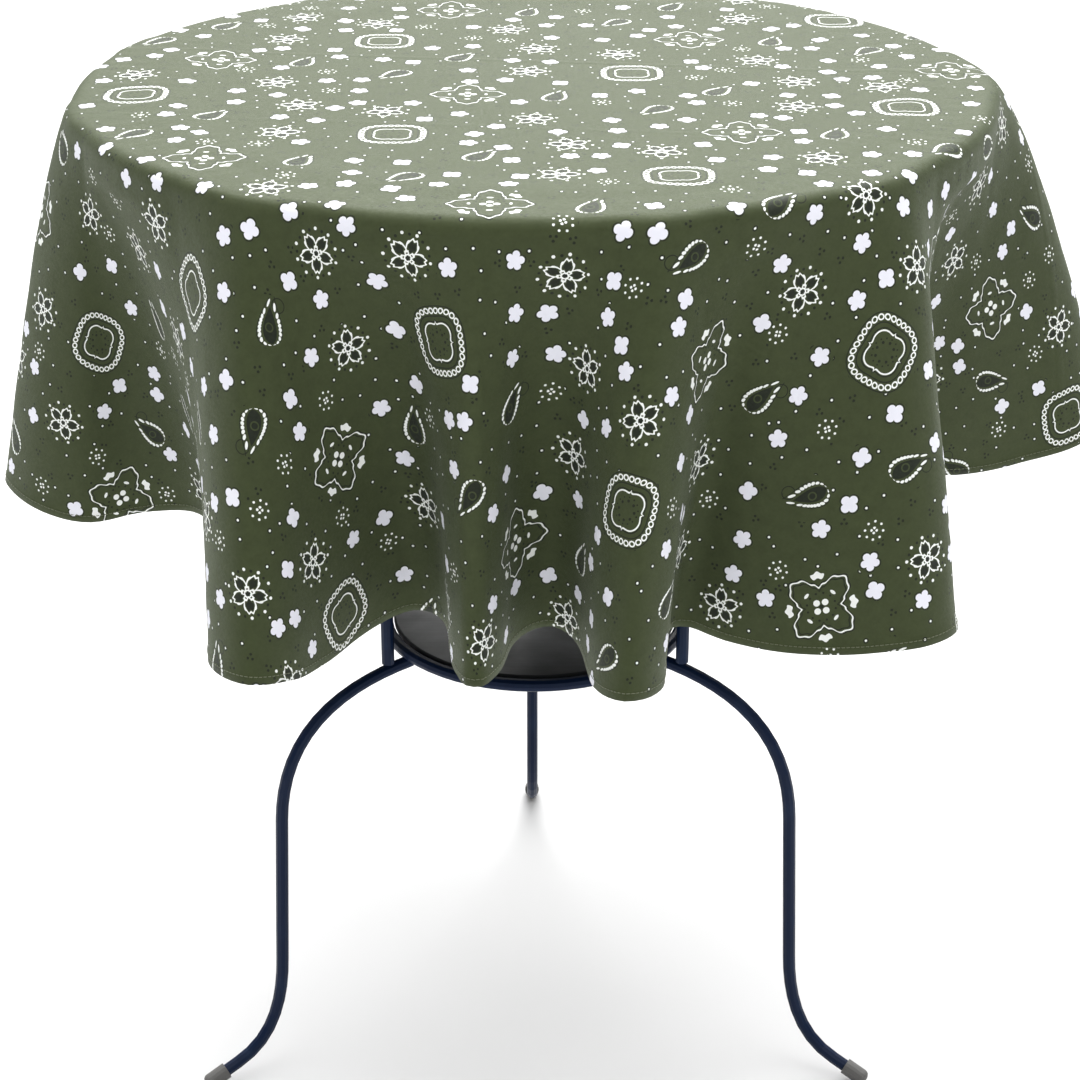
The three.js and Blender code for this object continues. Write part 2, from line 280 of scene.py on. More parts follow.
def medallion(tree, place):
    """A four-pointed shield with scalloped edges, four dots in it and a fleur off each side."""
    radius, angle = polar(tree, place)
    points = add(tree, "Math", [add(tree, "Math", [angle, 2], operation="MULTIPLY")], operation="COSINE")
    points = add(tree, "Math", [points, 2], operation="POWER")
    scallop = add(tree, "Math", [add(tree, "Math", [angle, 20], operation="MULTIPLY")], operation="COSINE")
    line = add(tree, "Math", [points, 11.5, 14.5], operation="MULTIPLY_ADD")
    line = add(tree, "Math", [scallop, 0.7, line], operation="MULTIPLY_ADD")
    off_line = add(tree, "Math", [radius, line], operation="SUBTRACT")
    folded = add(tree, "SeparateXYZ", [add(tree, "VectorMath", [place], operation="ABSOLUTE")])
    x, y = folded.outputs["X"], folded.outputs["Y"]
    outer = add(tree, "Math", [x, y], operation="MAXIMUM")
    side = add(tree, "Math", [x, y], operation="MINIMUM")
    dot = add(tree, "CombineXYZ", [add(tree, "Math", [outer, 4.2], operation="SUBTRACT"), side])
    dot = add(tree, "VectorMath", [dot], operation="LENGTH")
    dash = add(tree, "CombineXYZ", [
        add(tree, "Math", [outer, 13.0], operation="SUBTRACT"),
        add(tree, "Math", [side, 0.5], operation="MULTIPLY")])
    dash = add(tree, "VectorMath", [dash], operation="LENGTH")
    out = add(tree, "Math", [add(tree, "Math", [x, y], operation="ADD"), math.sqrt(0.5), -22.5],
              operation="MULTIPLY_ADD")
    off = add(tree, "Math", [add(tree, "Math", [outer, side], operation="SUBTRACT"), math.sqrt(0.5)],
              operation="MULTIPLY")
    waist = add(tree, "Math", [add(tree, "Math", [off, 1.1], operation="MULTIPLY")], operation="COSINE")
    fleur = add(tree, "CombineXYZ", [
        add(tree, "Math", [waist, -0.7, out], operation="MULTIPLY_ADD"),
        add(tree, "Math", [off, 0.52], operation="MULTIPLY")])
    fleur = add(tree, "VectorMath", [fleur], operation="LENGTH")
    white = most_of(tree, [
        add(tree, "Math", [off_line, 0, 0.6], operation="COMPARE"),
        add(tree, "Math", [dot, 2.3], operation="LESS_THAN"),
        add(tree, "Math", [dash, 1.1], operation="LESS_THAN"),
        add(tree, "Math", [fleur, 2.5], operation="LESS_THAN")])
    black = most_of(tree, [
        add(tree, "Math", [off_line, 1.4, 0.5], operation="COMPARE"),
        add(tree, "Math", [off_line, -2.4, 0.5], operation="COMPARE"),
        beads(tree, radius, angle, 10.0, 12, 0.8),
        add(tree, "Math", [radius, 1.5], operation="LESS_THAN")])
    return white, black


def blossom(tree, place):
    """Five outlined petals with ragged tips, in a ring of dots."""
    petals, ring, dots = 5, 16.0, 10
    radius, angle = polar(tree, place)
    folded = add(tree, "Math", [angle, math.pi / petals], operation="PINGPONG")
    out = add(tree, "Math", [radius, add(tree, "Math", [folded], operation="COSINE")], operation="MULTIPLY")
    off = add(tree, "Math", [radius, add(tree, "Math", [folded], operation="SINE")], operation="MULTIPLY")
    ragged = add(tree, "Math", [off, 1.5], operation="PINGPONG")
    out = add(tree, "Math", [ragged, -1.1, out], operation="MULTIPLY_ADD")
    oval = add(tree, "CombineXYZ", [
        add(tree, "Math", [out, 1 / 5.2, -6.9 / 5.2], operation="MULTIPLY_ADD"),
        add(tree, "Math", [off, 1 / 4.3], operation="MULTIPLY")])
    oval = add(tree, "VectorMath", [oval], operation="LENGTH")
    white = most_of(tree, [
        add(tree, "Math", [oval, 0.93, 0.13], operation="COMPARE"),
        add(tree, "Math", [radius, 2.3, 0.5], operation="COMPARE"),
        beads(tree, radius, angle, ring, dots, 1.1)])
    black = most_of(tree, [
        add(tree, "Math", [oval, 0.62], operation="LESS_THAN"),
        add(tree, "Math", [radius, 1.6], operation="LESS_THAN"),
        beads(tree, radius, angle, ring - 0.8, dots, 1.0, half_turn=True)])
    return white, black


def paisley(tree, place):
    """A bent drop edged with dots, dark inside, with a thin curled tail."""
    length, widest, bend, dots = 29.0, 22.5, 9.5, 20
    xyz = add(tree, "SeparateXYZ", [place])
    x, y = xyz.outputs["X"], xyz.outputs["Y"]
    share = add(tree, "Math", [y, 1 / length, 0.5], operation="MULTIPLY_ADD", use_clamp=True)
    rest = add(tree, "Math", [1, share], operation="SUBTRACT")
    half = add(tree, "Math", [add(tree, "Math", [share], operation="SQRT"),
                              add(tree, "Math", [rest, 1.15], operation="POWER")], operation="MULTIPLY")
    middle = add(tree, "Math", [add(tree, "Math", [share, 2], operation="POWER"), bend, -2.0],
                 operation="MULTIPLY_ADD")
    off = add(tree, "Math", [add(tree, "Math", [x, middle], operation="SUBTRACT")], operation="ABSOLUTE")
    edge = add(tree, "Math", [half, -widest, off], operation="MULTIPLY_ADD")
    radius, angle = polar(tree, add(tree, "VectorMath", [place, (1.0, 3.5, 0)], operation="ADD"))
    along = add(tree, "Math", [add(tree, "Math", [angle, math.pi / dots], operation="PINGPONG"), radius],
                operation="MULTIPLY")
    dot = add(tree, "VectorMath", [add(tree, "CombineXYZ", [edge, along])], operation="LENGTH")
    dot = add(tree, "Math", [dot, 1.3], operation="LESS_THAN")
    inside = add(tree, "Math", [edge, -3.0], operation="LESS_THAN")
    within = add(tree, "Math", [add(tree, "Math", [y], operation="ABSOLUTE"), length / 2],
                 operation="LESS_THAN")
    centre = add(tree, "Math", [radius, 2.6, 0.5], operation="COMPARE")
    curl = add(tree, "VectorMath", [place, (-10.5, -8.5, 0)], operation="ADD")
    curl = add(tree, "VectorMath", [curl], operation="LENGTH")
    curl = add(tree, "Math", [curl, 4.6, 0.35], operation="COMPARE")
    white = add(tree, "Math", [dot, within], operation="MULTIPLY")
    dark = add(tree, "Math", [inside, add(tree, "Math", [1, centre], operation="SUBTRACT")],
               operation="MULTIPLY")
    thin = add(tree, "Math", [edge, 1.9, 0.3], operation="COMPARE")
    dark = most_of(tree, [dark, add(tree, "Math", [thin, within], operation="MULTIPLY"), curl])
    return white, dark


def clear_of_motifs(tree, cell):
    """One where a small flower has room beside every large motif, and nought elsewhere."""
    clear = None
    for spots, room in FLOWERS_KEEP_FROM:
        away = add(tree, "VectorMath", [from_nearest(tree, cell, spots)], operation="LENGTH")
        free = add(tree, "Math", [away, room], operation="GREATER_THAN")
        clear = free if clear is None else add(tree, "Math", [clear, free], operation="MULTIPLY")
    return clear


def small_flowers(tree, place):
    """Scattered solid flowers of four or five petals, with a cluster of dots here and there."""
    cells = add(tree, "TexVoronoi", {"Vector": place, "Scale": 1 / FLOWER_SPACING, "Randomness": 0.62},
                voronoi_dimensions="2D", feature="F1")
    centre = cells.outputs["Position"]
    draw = add(tree, "SeparateColor", [cells.outputs["Color"]])
    local = add(tree, "VectorMath", [place, centre], operation="SUBTRACT")
    radius, angle = polar(tree, local)
    turned = add(tree, "Math", [draw.outputs["Red"], 2 * math.pi, angle], operation="MULTIPLY_ADD")
    five = add(tree, "Math", [draw.outputs["Green"], 0.42], operation="GREATER_THAN")
    halves = add(tree, "Math", [five, 0.5, 2], operation="MULTIPLY_ADD")
    wave = add(tree, "Math", [turned, halves], operation="MULTIPLY")
    wave = add(tree, "Math", [wave], operation="COSINE")
    petal = add(tree, "Math", [add(tree, "Math", [wave], operation="ABSOLUTE"), 0.6], operation="POWER")
    edge = add(tree, "Math", [petal, 0.42 * FLOWER_SIZE, 0.58 * FLOWER_SIZE], operation="MULTIPLY_ADD")
    off_edge = add(tree, "Math", [radius, edge], operation="SUBTRACT")
    is_flower = add(tree, "Math", [draw.outputs["Blue"], 0.84], operation="LESS_THAN")
    clear = clear_of_motifs(tree, repeats_at(tree, centre))
    shown = add(tree, "Math", [is_flower, clear], operation="MULTIPLY")
    filled = add(tree, "Math", [off_edge, 0], operation="LESS_THAN")
    ring = add(tree, "Math", [radius, 1.7, 0.32], operation="COMPARE")
    ring = add(tree, "Math", [ring, five], operation="MULTIPLY")
    outline = add(tree, "Math", [off_edge, 0.9, 0.35], operation="COMPARE")
    flower = add(tree, "Math", [filled, shown], operation="MULTIPLY")
    shade = add(tree, "Math", [most_of(tree, [ring, outline]), shown], operation="MULTIPLY")
    cluster = most_of(tree, [
        beads(tree, radius, turned, 6.2, 8, 0.85),
        beads(tree, radius, turned, 1.7, 4, 0.9)])
    unfilled = add(tree, "Math", [clear, shown], operation="SUBTRACT")
    dots = add(tree, "Math", [cluster, unfilled], operation="MULTIPLY")
    near = add(tree, "Math", [radius, FLOWER_SIZE + 2.5], operation="LESS_THAN")
    near = add(tree, "Math", [near, clear], operation="MULTIPLY")
    return flower, dots, shade, near


def sprigs(tree, place):
    """Tiny ringed dots and small dark sprigs between everything else."""
    cells = add(tree, "TexVoronoi", {"Vector": place, "Scale": 1 / SPRIG_SPACING, "Randomness": 0.8},
                voronoi_dimensions="2D", feature="F1")
    draw = add(tree, "SeparateColor", [cells.outputs["Color"]])
    local = add(tree, "VectorMath", [place, cells.outputs["Position"]], operation="SUBTRACT")
    radius, angle = polar(tree, local)
    turned = add(tree, "Math", [draw.outputs["Red"], 2 * math.pi, angle], operation="MULTIPLY_ADD")
    is_dot = add(tree, "Math", [draw.outputs["Green"], 0.6], operation="LESS_THAN")
    dot = add(tree, "Math", [add(tree, "Math", [radius, 0.85], operation="LESS_THAN"), is_dot],
              operation="MULTIPLY")
    ring = add(tree, "Math", [add(tree, "Math", [radius, 1.5, 0.4], operation="COMPARE"), is_dot],
               operation="MULTIPLY")
    leaves = add(tree, "Math", [beads(tree, radius, turned, 1.9, 3, 0.95), is_dot], operation="SUBTRACT")
    return dot, most_of(tree, [ring, leaves])


def bandana_print(tree, place):
    """The inks of the whole print at a place in millimetres of flat cloth: white, lavender, black."""
    moved = add(tree, "VectorMath", [place, (-PRINT_START[0], -PRINT_START[1], 0)], operation="ADD")
    cell = repeats_at(tree, moved)
    whites, blacks, away = [], [], None
    for draw_motif, spots, reach in (
            (wreath, WREATHS, WREATH_REACH), (medallion, MEDALLIONS, MEDALLION_REACH),
            (blossom, BLOSSOMS, BLOSSOM_REACH), (paisley, PAISLEYS, PAISLEY_REACH)):
        local = from_nearest(tree, cell, spots)
        white, black = draw_motif(tree, local)
        whites.append(white)
        blacks.append(black)
        distance = add(tree, "VectorMath", [local], operation="LENGTH")
        free = add(tree, "Math", [distance, reach], operation="GREATER_THAN")
        away = free if away is None else add(tree, "Math", [away, free], operation="MULTIPLY")
    flower, dots, shade, near = small_flowers(tree, moved)
    dot, sprig = sprigs(tree, moved)
    between = add(tree, "Math", [away, near], operation="SUBTRACT", use_clamp=True)
    dot = add(tree, "Math", [dot, between], operation="MULTIPLY")
    sprig = add(tree, "Math", [sprig, between], operation="MULTIPLY", use_clamp=True)
    return most_of(tree, whites + [dots, dot]), flower, most_of(tree, blacks + [shade, sprig])


def printed_cotton(name, ground, white_ink, lavender_ink, black_ink):
    """Plain weave cotton, piece dyed and screen printed: a fine even weave with a soft pale shine
    where it lies flat to the light, a slightly mottled olive, and inks that sit in the weave."""
    material, tree = new_material(name)
    flat = add(tree, "UVMap", uv_map="cut")
    place = add(tree, "VectorMath", [flat, (1 / MM, 1 / MM, 1 / MM)], operation="MULTIPLY")
    white, lavender, black = bandana_print(tree, place)
    mottle = add(tree, "TexNoise", {"Vector": place, "Scale": 1 / 9.0, "Detail": 4.0})
    tint = add(tree, "MapRange", [mottle, 0.3, 0.7, 0.9, 1.1])
    colour = add(tree, "Mix", [1.0, linear(ground), tint], data_type="RGBA", blend_type="MULTIPLY")
    for mask, ink in ((black, black_ink), (white, white_ink), (lavender, lavender_ink)):
        colour = add(tree, "Mix", [mask, colour, linear(ink)], data_type="RGBA")
    xyz = add(tree, "SeparateXYZ", [place])
    waves = 2 * math.pi / THREAD_SPACING
    warp = add(tree, "Math", [xyz.outputs["X"], waves], operation="MULTIPLY")
    weft = add(tree, "Math", [xyz.outputs["Y"], waves], operation="MULTIPLY")
    weave = add(tree, "Math", [add(tree, "Math", [warp], operation="SINE"),
                               add(tree, "Math", [weft], operation="SINE")], operation="MULTIPLY")
    slub = add(tree, "TexNoise", {"Vector": place, "Scale": 1 / 2.5, "Detail": 3.0})
    height = add(tree, "Math", [slub, 1.5, weave], operation="MULTIPLY_ADD")
    bump = add(tree, "Bump", {"Height": height, "Strength": 0.35, "Distance": 0.15 * MM})
    for fold_at, sharp in PACKING_FOLDS:
        off = add(tree, "VectorMath", [place, PACKING_WAY], operation="DOT_PRODUCT")
        off = add(tree, "Math", [off, fold_at], operation="SUBTRACT")
        off = add(tree, "Math", [off], operation="ABSOLUTE")
        ridge = add(tree, "MapRange", [off, 0.0, PACKING_FOLD_REACH, 1.0, 0.0],
                    interpolation_type="SMOOTHERSTEP")
        bump = add(tree, "Bump", {
            "Height": ridge, "Strength": sharp, "Distance": PACKING_FOLD_HEIGHT * MM, "Normal": bump})
    roughness = add(tree, "MapRange", [slub, 0.3, 0.7, 0.6, 0.75])
    shader = add(tree, "BsdfPrincipled", {
        "Base Color": colour, "Roughness": roughness, "Normal": bump,
        "Specular IOR Level": 0.42, "Specular Tint": linear("#E6F5C8"),
        "Sheen Weight": 0.1, "Sheen Roughness": 0.45, "Sheen Tint": linear("#F4FFEA")})
    add(tree, "OutputMaterial", [shader])
    return material


def millimetres(tree):
    """Where a point lies on the object, in millimetres."""
    where = add(tree, "TexCoord").outputs["Object"]
    return add(tree, "VectorMath", [where, (1 / MM, 1 / MM, 1 / MM)], operation="MULTIPLY")


def sewing_thread(name, deep, lit):
    """Mercerised cotton thread: two plies twisted together, with a slight silky shine, its twist painted
    lighter on the crests as a painted highlight and darker in the grooves as painted shade.
    """
    material, tree = new_material(name)
    twist = add(tree, "TexWave", {"Vector": millimetres(tree), "Scale": 1.4, "Distortion": 1.0})
    # Painted highlight and shade: the twist's crests take the lit colour and its grooves the deep colour.
    colour = add(tree, "Mix", [twist, linear(deep), linear(lit)], data_type="RGBA")
    bump = add(tree, "Bump", {"Height": twist.outputs["Fac"], "Strength": 0.5, "Distance": 0.1 * MM})
    shader = add(tree, "BsdfPrincipled", {
        "Base Color": colour, "Roughness": 0.6, "Normal": bump, "Sheen Weight": 0.4})
    add(tree, "OutputMaterial", [shader])
    return material


def satin_painted_steel(name, deep, worn):
    """Steel bar, dipped and baked in satin blue-black enamel: a smooth coat with soft long highlights,
    slightly uneven, and a little paler and duller where it has been handled."""
    material, tree = new_material(name)
    place = millimetres(tree)
    rubbed = add(tree, "TexNoise", {"Vector": place, "Scale": 1 / 28, "Detail": 5.0, "Roughness": 0.6})
    rubbed = add(tree, "MapRange", [rubbed, 0.52, 0.75, 0.0, 0.6])
    colour = add(tree, "Mix", [rubbed, linear(deep), linear(worn)], data_type="RGBA")
    drips = add(tree, "TexNoise", {"Vector": place, "Scale": 1 / 3.5, "Detail": 2.0})
    roughness = add(tree, "MapRange", [rubbed, 0.0, 0.6, 0.42, 0.55])
    bump = add(tree, "Bump", {"Height": drips, "Strength": 0.25, "Distance": 0.12 * MM})
    shader = add(tree, "BsdfPrincipled", {
        "Base Color": colour, "Roughness": roughness, "Normal": bump,
        "IOR": 1.5, "Specular IOR Level": 0.16})
    add(tree, "OutputMaterial", [shader])
    return material


def lacquered_board(name, ground, fleck):
    """Fibreboard sprayed with charcoal lacquer: an even satin skin with a faint long grain and fine
    pale specks of dust and scratches."""
    material, tree = new_material(name)
    place = millimetres(tree)
    stretched = add(tree, "VectorMath", [place, (0.06, 1.0, 1.0)], operation="MULTIPLY")
    grain = add(tree, "TexNoise", {"Vector": stretched, "Scale": 1 / 2.2, "Detail": 6.0})
    amount = add(tree, "MapRange", [grain, 0.4, 0.75, 0.0, 0.7])
    colour = add(tree, "Mix", [amount, linear(ground), linear(fleck)], data_type="RGBA")
    cloudy = add(tree, "TexNoise", {"Vector": place, "Scale": 1 / 30, "Detail": 3.0})
    roughness = add(tree, "MapRange", [cloudy, 0.3, 0.7, 0.4, 0.56])
    bump = add(tree, "Bump", {"Height": grain, "Strength": 0.2, "Distance": 0.1 * MM})
    shader = add(tree, "BsdfPrincipled", {
        "Base Color": colour, "Roughness": roughness, "Normal": bump, "IOR": 1.5})
    add(tree, "OutputMaterial", [shader])
    return material


def moulded_plastic(name, clean, darker_low_down):
    """Injection moulded polyethylene: a waxy grey with a fine spark-eroded grain, darker in patches towards
    the bottom, within 9 mm of the floor."""
    material, tree = new_material(name)
    place = millimetres(tree)
    height = add(tree, "SeparateXYZ", [place]).outputs["Z"]
    patches = add(tree, "TexNoise", {"Vector": place, "Scale": 1 / 4, "Detail": 6.0})
    # Darker in noise patches towards the bottom, fading out 9 mm above the floor.
    low = add(tree, "MapRange", [height, 0.0, 9.0, 0.55, 0.0])
    amount = add(tree, "Math", [add(tree, "MapRange", [patches, 0.4, 0.7, 0.2, 1.6]), low],
                 operation="MULTIPLY", use_clamp=True)
    colour = add(tree, "Mix", [amount, linear(clean), linear(darker_low_down)], data_type="RGBA")
    grain = add(tree, "TexNoise", {"Vector": place, "Scale": 1 / 0.5, "Detail": 2.0})
    roughness = add(tree, "MapRange", [patches, 0.3, 0.7, 0.48, 0.66])
    bump = add(tree, "Bump", {"Height": grain, "Strength": 0.3, "Distance": 0.05 * MM})
    shader = add(tree, "BsdfPrincipled", {
        "Base Color": colour, "Roughness": roughness, "Normal": bump, "IOR": 1.51})
    add(tree, "OutputMaterial", [shader])
    return material


def zinc_plated_steel(name, bright, dull):
    """Pressed steel screws with bright zinc plating: a cool metal with cloudy, slightly milky patches."""
    material, tree = new_material(name)
    place = millimetres(tree)
    cloudy = add(tree, "TexNoise", {"Vector": place, "Scale": 1 / 1.5, "Detail": 4.0})
    amount = add(tree, "MapRange", [cloudy, 0.35, 0.7, 0.0, 1.0])
    colour = add(tree, "Mix", [amount, linear(bright), linear(dull)], data_type="RGBA")
    roughness = add(tree, "MapRange", [cloudy, 0.35, 0.7, 0.26, 0.45])
    shader = add(tree, "BsdfPrincipled", {"Base Color": colour, "Roughness": roughness, "Metallic": 1.0})
    add(tree, "OutputMaterial", [shader])
    return material


def finish_table():
    """Gives every piece of the table its material. The cloth gets its own where it is made."""
    finishes = {
        "frame_paint": satin_painted_steel("satin enamel on steel bar", "#0D1D38", "#1E2F4A"),
        "board": lacquered_board("charcoal lacquer on fibreboard", "#1A1D22", "#282B30"),
        "cap_plastic": moulded_plastic("moulded grey polyethylene", "#5E5D5B", "#4A4A4C"),
        "zinc_steel": zinc_plated_steel("zinc plated steel", "#C9CDD2", "#A4A9B0"),
    }
    slots = {row["node"]: row["material_slot"] for row in frame["record"]["subparts"]}
    for name, obj in nodes.items():
        finish = finishes.get(slots[name])
        if finish is None:
            continue
        for slot in obj.material_slots:
            slot.material = finish


# ---- the cloth ----

AROUND = 288  # cloth points round each ring
TOP_RINGS = [0.05, 0.10, 0.15, 0.20, 0.24, 0.27, 0.29, 0.305, 0.317, 0.326]
HANG_RINGS = 30
FIRST_HANG = 4 * MM  # how far past the tabletop's edge the first hanging ring was cut

# How fast each thread leaves the rim on its way to the hem: one is even, less is sooner.
OUT_POWER = 0.78
IN_POWER = 0.8
TURN_POWER = 0.8
UNDER_BAND = 0.08  # share of the drop that passes the tabletop's edge before a hollow can turn in
MOST_IN, MOST_OUT = 0.9, 0.93  # how flat a thread can lie inwards and outwards, as run per length
LEAST_FALL = 0.25  # and how far it falls at the least, per length
OVER_BOARD = 1.6 * MM  # from the tabletop to the cloth's first place on it
OFF_RIM = 2 * MM

# The settling: the middle lies still, and the folds are held more and more towards the hem.
SIM_FRAMES = 14
PINNED = 0.25
HEM_HELD = 0.3  # how far down the drape the hold on the folds begins
HEM_HOLD = 0.6
HIT_GAP = 0.8 * MM

# Shallow creases of the drape: how many go round, phase, slant and depth in millimetres.
CREASES = ((23, 0.4, 0.5, 0.9), (37, 2.1, -0.9, 0.6), (61, 4.0, 1.3, 0.35))

STITCH_PITCH = 3.2 * MM
STITCH_LENGTH = 2.5 * MM
STITCH_SIDES = 6
THREAD_RADIUS = 0.3 * MM

# The rings of points that a stitch is made of: share of its length, lift and size in thread radii.
STITCH_RINGS = [(-0.5, -0.9, 0.5), (-0.3, 0.1, 1.0), (0.3, 0.1, 1.0), (0.5, -0.9, 0.5)]


def ring_radii():
    hanging = np.linspace(TABLETOP_RADIUS + FIRST_HANG, CLOTH_RADIUS, HANG_RINGS)
    return np.concatenate([TOP_RINGS, hanging])


def closed_spline(points, count):
    """A smooth closed curve through the points, as count points spaced evenly along it."""
    points = np.asarray(points, float)
    fine = []
    steps = 24
    for i in range(len(points)):
        a, b, c, d = (points[(i + k) % len(points)] for k in (-1, 0, 1, 2))
        for u in np.arange(steps) / steps:
            fine.append(0.5 * (2 * b + (c - a) * u + (2 * a - 5 * b + 4 * c - d) * u**2
                               + (3 * b - a - 3 * c + d) * u**3))
    fine = np.array(fine + [fine[0]])
    along = np.concatenate([[0], np.cumsum(np.linalg.norm(np.diff(fine, axis=0), axis=1))])
    at = np.linspace(0, along[-1], count, endpoint=False)
    return np.stack([np.interp(at, along, fine[:, k]) for k in (0, 1)], 1)


def hem_points():
    """The hem's place for each radial thread of the cloth, turned so that they pull least, and the
    directions of those threads when the cloth is flat."""
    curve = closed_spline(HEM_OUTLINE, AROUND)
    angle = np.arange(AROUND) * 2 * math.pi / AROUND
    rim = np.stack([np.cos(angle), np.sin(angle)], 1)
    best = min(range(AROUND), key=lambda k: ((np.roll(curve, k, axis=0) - rim) ** 2).sum())
    return np.roll(curve, best, axis=0) * TABLETOP_RADIUS, rim


def cloth_points():
    """Flat places and draped places of every cloth point, the centre first and then ring by ring.
    Folds that stand out leave the rim in a rounded curve, and hollows fall straight before they turn in."""
    hem, rim = hem_points()
    angle = np.arctan2(rim[:, 1], rim[:, 0])
    hem_angle = np.arctan2(hem[:, 1], hem[:, 0])
    turn = (hem_angle - angle + math.pi) % (2 * math.pi) - math.pi
    out = np.hypot(hem[:, 0], hem[:, 1]) - TABLETOP_RADIUS
    height = TABLETOP_Z + OVER_BOARD
    flat = [(0, 0, 0)]
    draped = [(0, 0, height)]
    radii = ring_radii()
    places = np.stack([rim[:, 0] * radii[0], rim[:, 1] * radii[0], np.full(AROUND, height)], 1)
    reach = np.zeros(AROUND)
    for ring, radius in enumerate(radii):
        flat += [(x * radius, y * radius, 0) for x, y in rim]
        share = (radius - TABLETOP_RADIUS) / DROP
        if share <= 0:
            places = np.stack([rim[:, 0] * radius, rim[:, 1] * radius, np.full(AROUND, height)], 1)
        else:
            step = radius - radii[ring - 1]
            under = max(0, (share - UNDER_BAND) / (1 - UNDER_BAND))
            wanted = out * np.where(out > 0, share**OUT_POWER, under**IN_POWER)
            reach = np.clip(wanted, reach - MOST_IN * step, reach + MOST_OUT * step)
            way = angle + turn * share**TURN_POWER
            r = TABLETOP_RADIUS + OFF_RIM + reach
            flatwise = np.stack([r * np.cos(way), r * np.sin(way)], 1)
            across = np.linalg.norm(flatwise - places[:, :2], axis=1)
            down = np.sqrt(np.maximum(step**2 - across**2, (LEAST_FALL * step) ** 2))
            places = np.concatenate([flatwise, places[:, 2:] - down[:, None]], 1)
        draped += [tuple(place) for place in places]
    return flat, draped


def cloth_faces(around, rings):
    """Faces of a round sheet whose points are its centre and then its rings from the inside out."""
    faces = []
    for k in range(around):
        after = (k + 1) % around
        faces.append((0, 1 + k, 1 + after))
        for ring in range(rings - 1):
            inner = 1 + ring * around
            outer = inner + around
            faces.append((inner + k, outer + k, outer + after, inner + after))
    return faces


def collider():
    """The tabletop as the cloth feels it: a little smaller, with its edge rounded."""
    bm = bmesh.new()
    height = 22 * MM
    radius = TABLETOP_RADIUS - 1.5 * MM
    bmesh.ops.create_cone(bm, cap_ends=True, segments=192, depth=height, radius1=radius, radius2=radius)
    rims = [edge for edge in bm.edges if abs(edge.verts[0].co.z - edge.verts[1].co.z) < 1e-6]
    bmesh.ops.bevel(bm, geom=rims, offset=8 * MM, segments=5, affect="EDGES", profile=0.5)
    bmesh.ops.translate(bm, verts=bm.verts, vec=(0, 0, TABLETOP_Z - height / 2))
    mesh = bpy.data.meshes.new("collider")
    bm.to_mesh(mesh)
    bm.free()
    obj = bpy.data.objects.new("collider", mesh)
    bpy.context.scene.collection.objects.link(obj)
    obj.modifiers.new("collision", "COLLISION")
    obj.collision.thickness_outer = HIT_GAP
    obj.collision.cloth_friction = 30
    return obj


def simulate(cloth, flat):
    """Lets the folded sheet settle under its own weight, keeping the size it was cut to."""
    held = cloth.vertex_groups.new(name="held")
    for index, (x, y, _) in enumerate(flat):
        radius = math.hypot(x, y)
        hang = (radius - TABLETOP_RADIUS) / DROP
        if radius < PINNED:
            held.add([index], 1.0, "REPLACE")
        elif hang > HEM_HELD:
            held.add([index], HEM_HOLD * (hang - HEM_HELD) / (1 - HEM_HELD), "REPLACE")
    table = collider()
    settings = cloth.modifiers.new("cloth", "CLOTH").settings
    settings.quality = 8
    settings.mass = 0.15
    settings.tension_stiffness = 60
    settings.compression_stiffness = 60
    settings.shear_stiffness = 30
    settings.bending_stiffness = 30.0
    settings.effector_weights.gravity = 0.35
    settings.tension_damping = 10
    settings.compression_damping = 10
    settings.shear_damping = 10
    settings.bending_damping = 1
    settings.air_damping = 4
    settings.vertex_group_mass = held.name  # Blender's name for the group that pins the cloth
    settings.pin_stiffness = 1.0
    hits = cloth.modifiers["cloth"].collision_settings
    hits.distance_min = HIT_GAP
    hits.collision_quality = 3
    hits.use_self_collision = False
    scene = bpy.context.scene
    scene.frame_start = 1
    scene.frame_end = SIM_FRAMES
    cloth.modifiers["cloth"].point_cache.frame_end = SIM_FRAMES
    for number in range(1, SIM_FRAMES + 1):
        scene.frame_set(number)
    apply_modifiers(cloth)
    bpy.data.objects.remove(table)


def halved_around(rings):
    """The rings with a point added between each two neighbours, on a smooth curve through them."""
    before, after, beyond = (np.roll(rings, shift, axis=1) for shift in (1, -1, -2))
    between = (9 * (rings + after) - before - beyond) / 16
    return np.stack([rings, between], 2).reshape(len(rings), -1, 3)


def halved_along(rings):
    """The rings with a ring added between each two, on a smooth curve through them."""
    first = 2 * rings[:1] - rings[1:2]
    last = 2 * rings[-1:] - rings[-2:-1]
    wide = np.concatenate([first, rings, last])
    between = (9 * (wide[1:-2] + wide[2:-1]) - wide[:-3] - wide[3:]) / 16
    made = np.empty((2 * len(rings) - 1,) + rings.shape[1:])
    made[0::2] = rings
    made[1::2] = between
    return made


def outward(rings):
    """The direction that the sheet faces at each point."""
    along = np.gradient(rings, axis=0)
    round_ = np.roll(rings, -1, axis=1) - np.roll(rings, 1, axis=1)
    normal = np.cross(along, round_)
    return normal / np.linalg.norm(normal, axis=2, keepdims=True)


def creases(radii, angle):
    """How far shallow soft creases, slanting down from the rim, lift the cloth at each point."""
    share = np.clip((radii - TABLETOP_RADIUS) / DROP, 0, 1)[:, None]
    lift = np.zeros((len(radii), len(angle)))
    for count, phase, slant, deep in CREASES:
        patch = 0.5 + 0.5 * np.sin(5 * angle + 2 * phase + 3 * share)
        lift += deep * patch * np.sin(count * (angle + slant * 0.4 * share) + phase)
    return lift * MM * np.sqrt(share) * (1.2 - 0.7 * share)


